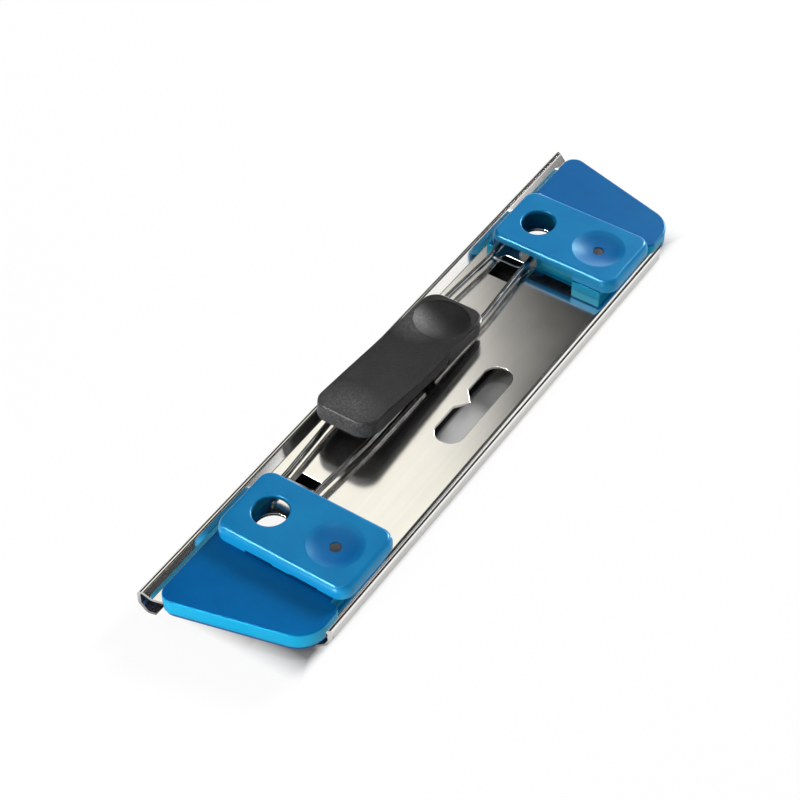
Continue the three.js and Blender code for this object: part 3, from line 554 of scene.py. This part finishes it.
finishes = {
    "plate": plate_finish(),
    # The side colours of cover and pad are painted light on their walls; the spots given to the cover place
    # painted shade in its dishes.
    "cover": moulded_finish(
        "cover_blue", (0.0, 0.160, 0.40), (0.002, 0.19, 0.44), (0.004, 0.215, 0.46), (0.38, 0.92, 1.0), 0.30,
        [(PIN_X, side * UNIT_Y, COVER_TOP) for _, side in ENDS]),
    "pad": moulded_finish(
        "pad_blue", (0.0, 0.080, 0.29), (0.0, 0.094, 0.315), (0.004, 0.25, 0.44), (0.06, 0.88, 1.0), 0.34),
    "under_pad": under_finish(),
    "handle": handle_finish(),
    "wire": metal_finish("bright_wire", (0.34, 0.34, 0.34), (0.66, 0.66, 0.66), 0.12, (6, 0.4, 6)),
    # Painted shade: the inner steel parts are near black with a blue tint, standing in for the shade and the
    # blue walls round them.
    "steel": metal_finish("ground_steel", (0.02, 0.022, 0.027), (0.07, 0.075, 0.085), 0.42, (1, 0.1, 1)),
    "spring": metal_finish("spring_wire", (0.4, 0.39, 0.37), (0.68, 0.67, 0.64), 0.3),
    "screw": metal_finish("zinc_screw", (0.45, 0.45, 0.44), (0.72, 0.72, 0.71), 0.34, scale=2400),
}


# Base plate


def arc_band(corners, thickness):
    """A band of even thickness along an open line of corners (x, z, bend radius)."""
    line = outline(corners, 8)
    sides = []
    for side in (1, -1):
        row = []
        for i, point in enumerate(line):
            before = (point - line[i - 1]).normalized() if i else (line[1] - point).normalized()
            after = (line[i + 1] - point).normalized() if i < len(line) - 1 else before
            along = (before + after).normalized()
            normal = Vector((-along.y, along.x))
            row.append(point + normal * side * thickness / 2 / max(along.dot(after), 0.7))
        sides.append(row)
    return sides[0] + list(reversed(sides[1]))


def plate_end(x, margin=0.0):
    """How far the plate's slanted end reaches at x, with a margin added."""
    return PLATE_REACH + margin - END_SLOPE * (x + HALF_WIDTH)


def plate_plan(margin):
    """A block over the plate's plan: slanted ends, and cut corners on the right."""
    right = HALF_WIDTH + margin
    cut = right - CORNER_WIDTH
    far = [(PLAN_LEFT, plate_end(PLAN_LEFT, margin), 0), (cut, plate_end(cut, margin), CORNER_ROUND),
           (right, plate_end(right, margin) - CORNER_LENGTH, CORNER_ROUND)]
    near = [(x, -y, radius) for x, y, radius in reversed(far)]
    return cutter(list(reversed(outline(far + near, 12))), BELOW_PLATE, ABOVE_COVER)


def through_plate(points, ease=0.06):
    """A cutter through the flat of the plate that eases both rims."""
    return flared(points, PLATE_TOP - SHEET, PLATE_TOP, ease, steps=3, both=True)


def screw_rooms(side, bottom, top):
    """Cutters for the two screws of one end."""
    rooms = []
    for x in (PAD_LEFT + SCREW_FROM_LEFT, PAD_RIGHT - SCREW_FROM_RIGHT):
        y = side * (plate_end(x) - SCREW_FROM_END)
        rooms.append(cutter(circle(x, y, SCREW_ROOM, 32), bottom, top))
    return rooms


def hole_set(side):
    """The cutters of one end of the plate: window, pin, wires and screws."""
    y = UNIT_Y * side
    across = (PRESS_X - CUT_HALF, PRESS_X + CUT_HALF)
    along = sorted((side * CUT_START, side * CUT_END))
    return [
        through_plate(ellipse(WINDOW_X, y, WINDOW_HALF_X, WINDOW_HALF_Y)),
        through_plate(circle(PIN_X, y, PLATE_BORE)),
        through_plate(outline(rectangle(across, along, CUT_ROUND), 4)),
        *screw_rooms(side, bottom=2, top=4.5),
    ]


def base_plate():
    """The bent sheet: a lip and a flange on the left, a round shoulder on the right, and its holes."""
    half = SHEET / 2
    wall = HALF_WIDTH - half
    profile = arc_band([
        (-wall + LEFT_FLANGE, half, 0), (-wall + LEFT_FOOT, half, LEFT_BEND),
        (-wall, LEFT_FOOT_RISE, LEFT_BEND), (-wall, PLATE_TOP + LIP_RISE, LIP_BEND),
        (-HALF_WIDTH + LIP_WIDTH, PLATE_TOP - half, LIP_BEND), (wall, PLATE_TOP - half, SHOULDER_BEND),
        (wall, RIGHT_FOOT_RISE, RIGHT_BEND), (wall - RIGHT_FOOT, half, RIGHT_BEND),
        (wall - RIGHT_FLANGE, half, 0),
    ], SHEET)
    plate = extruded("plate_sheet", profile, (-PLATE_REACH - 2, PLATE_REACH + 2))
    combine(plate, [plate_plan(0)], "INTERSECT")
    end_round = (SLOT_RIGHT - SLOT_LEFT) / 2
    slot = outline([
        (SLOT_LEFT, -TOOTH_HALF, 0.15), (SLOT_LEFT + TOOTH_REACH, 0, 0.12), (SLOT_LEFT, TOOTH_HALF, 0.15),
        (SLOT_LEFT, SLOT_END, end_round), (SLOT_RIGHT, SLOT_END, end_round),
        (SLOT_RIGHT, -SLOT_END, end_round), (SLOT_LEFT, -SLOT_END, end_round),
    ], 14)
    slot.reverse()
    combine(plate, [through_plate(slot, 0.07)] + hole_set(1) + hole_set(-1))
    return finished(plate, finishes["plate"], bevel=0.05)


# Punch units


def pad_outline(inner):
    """The pad's plan from an inner edge to the plate's end, with a neck where it starts inside the lobe."""
    neck = [(NECK_RIGHT, inner, 0), (NECK_RIGHT, LOBE_START, NECK_ROUND), (PAD_RIGHT, LOBE_START, LOBE_ROUND)]
    return outline([
        (PAD_LEFT, inner, 0), *(neck if inner < LOBE_START else [(PAD_RIGHT, inner, 0)]),
        (PAD_RIGHT, plate_end(PAD_RIGHT, PAD_OVERHANG), PAD_RIGHT_ROUND),
        (PAD_LEFT, plate_end(PAD_LEFT, PAD_OVERHANG), PAD_LEFT_ROUND),
    ], 16)


def lower_body():
    """The blue pad, its skirt round the plate's end and the rooms under the cover."""
    plan = pad_outline(UNIT_INNER)
    pad = soft_prism("pad_far", plan, PLATE_TOP, PAD_TOP, width=0.3, height=0.3, steps=5, foot=0.02)
    skirt = cutter(pad_outline(SKIRT_START), SKIRT_FOOT, PLATE_TOP + 0.5)
    combine(skirt, [plate_plan(SKIRT_GAP)])
    combine(pad, [skirt], "UNION")
    window = ellipse(WINDOW_X, UNIT_Y, WINDOW_HALF_X + WINDOW_GAP, WINDOW_HALF_Y + WINDOW_GAP)
    rise = (BELOW_UNIT, ABOVE_PAD)
    combine(pad, [
        box((PAD_LEFT + WALL, STOP_X - WALL), (BEFORE_UNIT, UNIT_OUTER - WALL), rise),
        box((PAD_LEFT + WALL, MOUTH_RIGHT), (BEFORE_UNIT, MOUTH_END), rise),
        cutter(circle(PIN_X, UNIT_Y, DIE_ROOM), *rise),
        cutter(window, *rise),
        *screw_rooms(1, bottom=BELOW_UNIT, top=5.1),
    ])
    return finished(pad, finishes["pad"], bevel=0.05)


def upper_cover():
    """The rounded blue housing with its filing window, dish, mouth and paper throat."""
    plan = outline(rectangle((PAD_LEFT, HALF_WIDTH), (UNIT_INNER, UNIT_OUTER), COVER_ROUND), 14)
    cover = soft_prism("cover_far", plan, PAD_TOP, COVER_TOP, width=0.9, height=1.6, steps=12, foot=0.05)
    inside = (UNIT_INNER + WALL, UNIT_OUTER - WALL)
    mouth = (BEFORE_UNIT, inside[0] + 0.1)
    behind = (inside[1] - 0.1, BEHIND_UNIT)
    slits = [box(slit, behind, (COVER_FOOT, SLIT_TOP)) for slit in SLITS]
    combine(cover, [
        box((PAD_LEFT + WALL, STOP_X - WALL), inside, (COVER_FOOT, COVER_CEILING)),
        box((ARM_ROOM_LEFT, ARM_ROOM_RIGHT), inside, (ARM_BED_TOP, COVER_CEILING)),
        box((PAD_LEFT + WALL, MOUTH_RIGHT), (inside[0], MOUTH_END), (COVER_FOOT, COVER_CEILING)),
        box((PRESS_X - WIRE_REACH, MOUTH_RIGHT), mouth, (COVER_FOOT, MOUTH_TOP)),
        *slits,
        box((STOP_X, THROAT_RIGHT), (BEFORE_UNIT, BEHIND_UNIT), (COVER_FOOT, ARM_BED_BOTTOM)),
        cutter(circle(PIN_X, UNIT_Y, GUIDE_BORE), ARM_BED_BOTTOM - 0.1, ARM_BED_TOP + 0.1),
        bowl(PIN_X, UNIT_Y, COVER_TOP, DISH_RADIUS, DISH_DEPTH),
    ])
    window = ellipse(WINDOW_X, UNIT_Y, WINDOW_HALF_X, WINDOW_HALF_Y)
    peep = circle(PIN_X, UNIT_Y, PEEP_RADIUS, 48)
    combine(cover, [
        flared(window, 3, COVER_TOP, ease=0.28, steps=7),
        flared(peep, 7.2, COVER_TOP - 0.60, ease=0.14, steps=6),
    ])
    return finished(cover, finishes["cover"], bevel=0.04)


# Wires and springs


def path_tree():
    """A round wire along a path: its bends are rounded, then it is swept and closed."""
    tree = bpy.data.node_groups.new("wire_along_path", "GeometryNodeTree")
    face = tree.interface
    face.new_socket("Geometry", in_out="INPUT", socket_type="NodeSocketGeometry")
    for name, kind in (("Radius", "NodeSocketFloat"), ("Bend", "NodeSocketFloat"),
                       ("Sides", "NodeSocketInt"), ("Finish", "NodeSocketMaterial")):
        face.new_socket(name, in_out="INPUT", socket_type=kind)
    face.new_socket("Geometry", in_out="OUTPUT", socket_type="NodeSocketGeometry")
    make, link = tree.nodes.new, tree.links.new
    given, result = make("NodeGroupInput"), make("NodeGroupOutput")
    curve = make("GeometryNodeMeshToCurve")
    fillet = make("GeometryNodeFilletCurve")
    fillet.mode = "POLY"
    fillet.inputs["Count"].default_value = 10
    fillet.inputs["Limit Radius"].default_value = True
    section = make("GeometryNodeCurvePrimitiveCircle")
    sweep = make("GeometryNodeCurveToMesh")
    sweep.inputs["Fill Caps"].default_value = True
    smooth = make("GeometryNodeSetShadeSmooth")
    real = make("GeometryNodeRealizeInstances")
    paint = make("GeometryNodeSetMaterial")
    link(given.outputs["Geometry"], curve.inputs[0])
    link(curve.outputs[0], fillet.inputs["Curve"])
    link(given.outputs["Bend"], fillet.inputs["Radius"])
    link(given.outputs["Sides"], section.inputs["Resolution"])
    link(given.outputs["Radius"], section.inputs["Radius"])
    link(fillet.outputs[0], sweep.inputs["Curve"])
    link(section.outputs[0], sweep.inputs["Profile Curve"])
    link(sweep.outputs[0], smooth.inputs[0])
    link(smooth.outputs[0], real.inputs[0])
    link(real.outputs[0], paint.inputs[0])
    link(given.outputs["Finish"], paint.inputs["Material"])
    link(paint.outputs[0], result.inputs[0])
    return tree


wire_tree = path_tree()


def swept(name, paths, radius, bend, sides, finish):
    """Sweeps a round wire along one or more paths of points, as one plain mesh."""
    mesh = bpy.data.meshes.new(name)
    points, edges = [], []
    for path in paths:
        edges += [(len(points) + i, len(points) + i + 1) for i in range(len(path) - 1)]
        points += [Vector(p) * MM for p in path]
    mesh.from_pydata(points, edges, [])
    wire = bpy.data.objects.new(name, mesh)
    bpy.context.scene.collection.objects.link(wire)
    maker = wire.modifiers.new("sweep", "NODES")
    maker.node_group = wire_tree
    values = {"Radius": radius * MM, "Bend": bend * MM, "Sides": sides, "Finish": finish}
    for item in wire_tree.interface.items_tree:
        if item.in_out == "INPUT" and item.name in values:
            maker[item.identifier] = values[item.name]
    baked(wire)
    return finished(wire, finish)


def bail():
    """Two bright wires and the tongue between them."""
    paths = []
    for side in (-1, 1):
        wide, narrow = PRESS_X + side * WIRE_WIDE, PRESS_X + side * WIRE_NARROW
        paths.append([
            (wide, WIRE_START, WIRE_Z), (wide, WIRE_TURN, WIRE_Z), (narrow, WIRE_STRAIGHT, WIRE_Z),
            (narrow, WIRE_END, WIRE_Z), (narrow, WIRE_END, HEAD_BOTTOM - HEAD_GAP),
        ])
    slim = WIRE_RADIUS * WIRE_SLIMMING
    wires = swept("bail_far", paths, slim, bend=WIRE_BEND, sides=24, finish=finishes["wire"])
    section = [(PRESS_X + x, z) for x, z in TONGUE_HALF]
    section += [(PRESS_X - x, z) for x, z in reversed(TONGUE_HALF)]
    tongue = finished(extruded("tongue", section, TONGUE_SPAN), finishes["wire"], bevel=0.06)
    both = joined(wires, tongue)
    both.data.materials.clear()
    both.data.materials.append(finishes["wire"])
    return both


def return_spring():
    """A short open coil between the plate and the carrier."""
    low, high, steps = PLATE_TOP + COIL_SEAT, SPRING_HEAD - COIL_SEAT, 40
    path = []
    for step in range(COIL_TURNS * steps + 1):
        turn = 2 * math.pi * step / steps
        rise = low + (high - low) * step / (COIL_TURNS * steps)
        path.append((PRESS_X + COIL_RADIUS * math.cos(turn), SPRING_Y + COIL_RADIUS * math.sin(turn), rise))
    return swept("spring_far", [path], COIL_WIRE, bend=0.0, sides=12, finish=finishes["spring"])


# Handle


def sagging(low, sag, near, far):
    """A cutter across the grip that lets its top sag between two places along it."""
    steps = 28
    points = [(near, low + 1), (far, low + 1)]
    for step in range(steps, -1, -1):
        share = step / steps
        points.append((near + (far - near) * share, low - sag * math.sin(math.pi * share) ** 1.5))
    return extruded("cutter", points, (-BESIDE_CAP, BESIDE_CAP), along_y=False)


def handle_cap():
    """The black rocking grip, drawn level round its pivot and then tilted."""
    plan = outline(rectangle((-CAP_HALF, CAP_HALF), (CAP_NEAR, CAP_FAR), CAP_ROUND), 14)
    cap = soft_prism("grip_cap", plan, CAP_BOTTOM, CAP_TOP, width=0.55, height=0.7, steps=8, foot=0.1)
    cutters = [
        cutter(inset(plan, CAP_WALL), CAP_BOTTOM - 1, CAP_TOP - CAP_ROOF),
        box((-STRIP_HALF_X, STRIP_HALF_X), (-STRIP_HALF_Y, STRIP_HALF_Y), (CAP_BOTTOM, STRIP_TOP)),
        sagging(CAP_TOP + 0.001, SAG_DEPTH, CAP_NEAR + SAG_FROM_NEAR, CAP_FAR - SAG_FROM_FAR),
        bowl(0, CAP_FAR - THUMB_FROM_FAR, CAP_TOP - THUMB_BELOW_TOP, THUMB_RADIUS, THUMB_DEPTH, steps=22),
    ]
    for x in (-WIRE_WIDE, WIRE_WIDE):
        end = (CAP_FAR - NOTCH_LENGTH, CAP_FAR + 2)
        cutters.append(box((x - NOTCH_HALF, x + NOTCH_HALF), end, (-3, CAP_BOTTOM + NOTCH_RISE)))
    ends = (-BESIDE_CAP, BESIDE_CAP)
    bore = revolved([(0.0, ends[0]), (PIVOT_BORE, ends[0]), (PIVOT_BORE, ends[1]), (0.0, ends[1])], 0, 0, 32)
    bore.data.transform(Matrix.Rotation(math.pi / 2, 4, "Y"))
    cutters.append(bore)
    combine(cap, cutters)
    finished(cap, finishes["handle"], bevel=0.06)
    tilt = Matrix.Rotation(-math.radians(CAP_TILT), 4, "X")
    cap.data.transform(Matrix.Translation(Vector(CAP_PIVOT) * MM) @ tilt)
    return cap


# Pieces of the object
plate = base_plate()
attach(plate, "base")
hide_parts("base_plate")

makers = (
    ("lower_body", lower_body, "base", "pad"),
    ("upper_cover", upper_cover, "base", "cover"),
    ("bail", bail, "press_frame", "wire"),
    ("spring", return_spring, "base", "spring"),
)
for node, maker, body, slot in makers:
    far = maker()
    for (end, side), piece in zip(ENDS, (far, mirrored(far, f"{far.name[:-4]}_near"))):
        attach(piece, body)
        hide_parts(f"{end}_{node}")
        if node == "spring":
            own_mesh(piece)

cap = handle_cap()
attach(cap, "handle")
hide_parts("handle_cap")

# Nodes that keep their solids, by a word in their names
solid_slots = {
    "under_pad": "under_pad", "screw": "screw", "die": "steel", "punch_pin": "steel",
    "crosshead": "steel", "carrier": "handle", "pivot": "steel",
}
for node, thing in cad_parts.items():
    for word, slot in solid_slots.items():
        if word in node:
            thing.data.materials.clear()
            thing.data.materials.append(finishes[slot])


# Floor and light


def floor_finish():
    """A white floor that keeps the shadow, with painted shade below the plate, painted light spots below the
    filing windows, and painted shade beside the object where its edges mirror it.
    """
    # Painted light: white spots on the floor below each filing window.
    painted_light_spots = ((-8.0, 44.5, 0), (-8.0, -35.5, 0))
    # Painted shade below the plate: near black on the left, grey below the slot's right side.
    painted_shade_left, painted_shade_right, lit = (0.03, 0.03, 0.03), (0.50, 0.50, 0.50), (0.93, 0.93, 0.925)
    material = bpy.data.materials.new("pale_floor")
    net = Network(material)
    place = net.here()
    x, y, _ = net.split(place)

    def outside(value, inner, outer):
        return net.remap(net.maths("ABSOLUTE", value), inner * MM, outer * MM)

    def painted_light_round(spot):
        return net.remap(net.distance(place, spot), 3.7 * MM, 3.2 * MM)

    clear = net.maths("MAXIMUM", outside(x, 12.5, 14.5), outside(y, 55, 60))
    clear = net.maths("MAXIMUM", clear, net.maths("MAXIMUM", *(painted_light_round(spot) for spot in painted_light_spots)))
    path = net.add("ShaderNodeLightPath").outputs
    # Painted shade for mirrors only: near the object glossy rays see the floor without its glow, so the bent
    # edges mirror a dark band.
    wide = net.maths("MAXIMUM", outside(x, 14.0, 26.0), outside(y, 60, 72))
    dull = net.maths("MAXIMUM", net.maths("SUBTRACT", path["Is Glossy Ray"], wide), 0.0)
    clear = net.maths("MAXIMUM", net.maths("SUBTRACT", clear, dull), 0.0)
    share = net.maths("MULTIPLY", net.maths("MULTIPLY", net.seen(path), clear), 0.92)
    # Painted shade below the plate, from near black on the left to grey on the right.
    under = net.blend(net.remap(x, 3.6 * MM, 4.4 * MM), painted_shade_left, painted_shade_right)
    diffuse = net.add("ShaderNodeBsdfDiffuse")
    net.link(net.blend(clear, under, lit), diffuse.inputs["Color"])
    mix = net.add("ShaderNodeMixShader")
    net.link(share, mix.inputs["Fac"])
    net.link(diffuse.outputs[0], mix.inputs[1])
    net.link(net.add("ShaderNodeEmission").outputs[0], mix.inputs[2])
    net.show(mix)
    return material


def ceiling_finish():
    """Light in front, then a soft run down to a dark room: what the polished plate mirrors."""
    levels = ((0.07, 1.0), (0.14, 0.87), (0.21, 0.70), (0.31, 0.40), (0.41, 0.22), (0.51, 0.12),
              (0.61, 0.07), (0.71, 0.045), (0.81, 0.03), (1.0, 0.02))
    material = bpy.data.materials.new("room_above")
    net = Network(material)
    place = net.here()
    along = net.add("ShaderNodeVectorMath", operation="DOT_PRODUCT")
    along.inputs[1].default_value = (0.79, 0.61, 0.0)
    net.link(place, along.inputs[0])
    run = net.add("ShaderNodeValToRGB")
    for index, (spot, level) in enumerate(levels):
        stop = run.color_ramp.elements[index] if index < 2 else run.color_ramp.elements.new(spot)
        stop.position = spot
        stop.color = (level, level * (1 - 0.02 * level), level * (1 - 0.11 * level), 1)
    net.link(net.remap(along.outputs["Value"], 50 * MM, 150 * MM), run.inputs["Fac"])
    glow = net.add("ShaderNodeEmission")
    net.link(run.outputs["Color"], glow.inputs["Color"])
    net.link(net.remap(net.split(place)[0], -470 * MM, -380 * MM, 0.03), glow.inputs["Strength"])
    net.show(glow)
    return material


def studio_sky():
    """A white room, dim where it only lights and full where it is seen."""
    world = bpy.data.worlds.new("studio")
    net = Network(world)
    sky = net.add("ShaderNodeBackground")
    sky.inputs["Color"].default_value = (1, 1, 1, 1)
    path = net.add("ShaderNodeLightPath").outputs
    net.link(net.remap(net.seen(path), 0.0, 1.0, 0.22), sky.inputs["Strength"])
    net.show(sky, "ShaderNodeOutputWorld")
    return world


def lamp(name, place, size, power, aim=(0, 0, 0)):
    """A round lamp at a place in metres, turned to what it lights."""
    light = bpy.data.lights.new(name, "AREA")
    light.shape = "DISK"
    light.size = size
    light.energy = power
    thing = bpy.data.objects.new(name, light)
    scene.collection.objects.link(thing)
    thing.location = place
    thing.rotation_mode = "QUATERNION"
    thing.rotation_quaternion = (Vector(aim) - Vector(place)).to_track_quat("-Z", "Y")


def card(name, corners, level):
    """A card that only glossy faces mirror.

    Black ones beside the object give the bent edges and the wires their dark lines. Bright ones give the
    moulded edges their glints, and after a second bounce are no brighter than white.
    """
    thing = new_object(name, corners, [(0, 1, 2, 3)])
    material = bpy.data.materials.new(name)
    net = Network(material)
    depth = net.add("ShaderNodeLightPath").outputs["Ray Depth"]
    glow = net.add("ShaderNodeEmission")
    net.link(net.remap(depth, 1, 2, level, min(level, 1.0)), glow.inputs["Strength"])
    net.show(glow)
    thing.data.materials.append(material)
    return thing


scene = bpy.context.scene
FLOOR_REACH, FLOOR_DROP, ROOM_HEIGHT = 3000, 0.02, 600
around = (-FLOOR_REACH, FLOOR_REACH)
floor = new_object("floor", rectangle(around, around), [(0, 1, 2, 3)])
floor.data.transform(Matrix.Translation((0, 0, -FLOOR_DROP * MM)))
floor.data.materials.append(floor_finish())

scene.world = studio_sky()

lamp("far", place=(0.12, 0.82, 0.42), size=0.25, power=10.5)
lamp("near_left", place=(-0.35, -0.75, 0.8), size=0.35, power=2.0)
lamp("near_low", place=(0.0, -0.17, 0.012), size=0.02, power=0.17, aim=(0, -0.05, 0.004))
lamp("overhead", place=(0.02, 0.0, 0.9), size=0.06, power=0.9)

ceiling = new_object("ceiling", rectangle((-1600, 300), (0, 1300), ROOM_HEIGHT), [(3, 2, 1, 0)])
ceiling.data.materials.append(ceiling_finish())

cards = [
    ceiling,
    card("black_near", rectangle((340, 1000), (-300, 490), ROOM_HEIGHT), level=0.03),
    card("black_far", rectangle((340, 1000), (800, 1400), ROOM_HEIGHT), level=0.08),
    card("black_right", [(760, 100, 20), (500, 900, 20), (500, 900, 420), (760, 100, 420)], level=0.03),
    card("black_left", [(-700, -300, 20), (-700, 800, 20), (-700, 800, 520), (-700, -300, 520)], level=0.03),
    card("near_glint",
         [(-480, -560, 500), (-190, -690, 500), (-150, -400, 740), (-440, -270, 740)], level=50),
    card("far_glint", [(-160, 760, 480), (0, 760, 480), (0, 700, 580), (-160, 700, 580)], level=25),
    card("far_low", [(-400, 620, 110), (-220, 690, 110), (-220, 690, 320), (-400, 620, 320)], level=3),
]
for thing in cards:
    thing.visible_camera = False
    thing.visible_diffuse = False
    thing.visible_shadow = False

# Camera, as fitted to the photograph
AZIMUTH, ELEVATION, ROLL = (math.radians(v) for v in (34.01, 46.72, -0.29))
AIM, DISTANCE = (-4.86, -4.04, 1.4), 353.55
FOCAL_PIXELS, PHOTO_PIXELS, SENSOR_WIDTH = 2117.18, 800, 36

level_share = math.cos(ELEVATION)
back = Vector((math.sin(AZIMUTH) * level_share, -math.cos(AZIMUTH) * level_share, math.sin(ELEVATION)))
right = Vector((0, 0, 1)).cross(back).normalized()
rise = back.cross(right)
across = math.cos(ROLL) * right + math.sin(ROLL) * rise
upward = -math.sin(ROLL) * right + math.cos(ROLL) * rise
place = Vector(AIM) * MM + back * DISTANCE * MM
camera = bpy.data.objects.new("camera", bpy.data.cameras.new("camera"))
scene.collection.objects.link(camera)
camera.matrix_world = Matrix((
    (across.x, upward.x, back.x, place.x),
    (across.y, upward.y, back.y, place.y),
    (across.z, upward.z, back.z, place.z),
    (0, 0, 0, 1),
))
camera.data.sensor_width = SENSOR_WIDTH
camera.data.lens = FOCAL_PIXELS / PHOTO_PIXELS * SENSOR_WIDTH
camera.data.clip_start = 0.01
camera.data.clip_end = 20
scene.camera = camera
scene.view_settings.view_transform = "Standard"
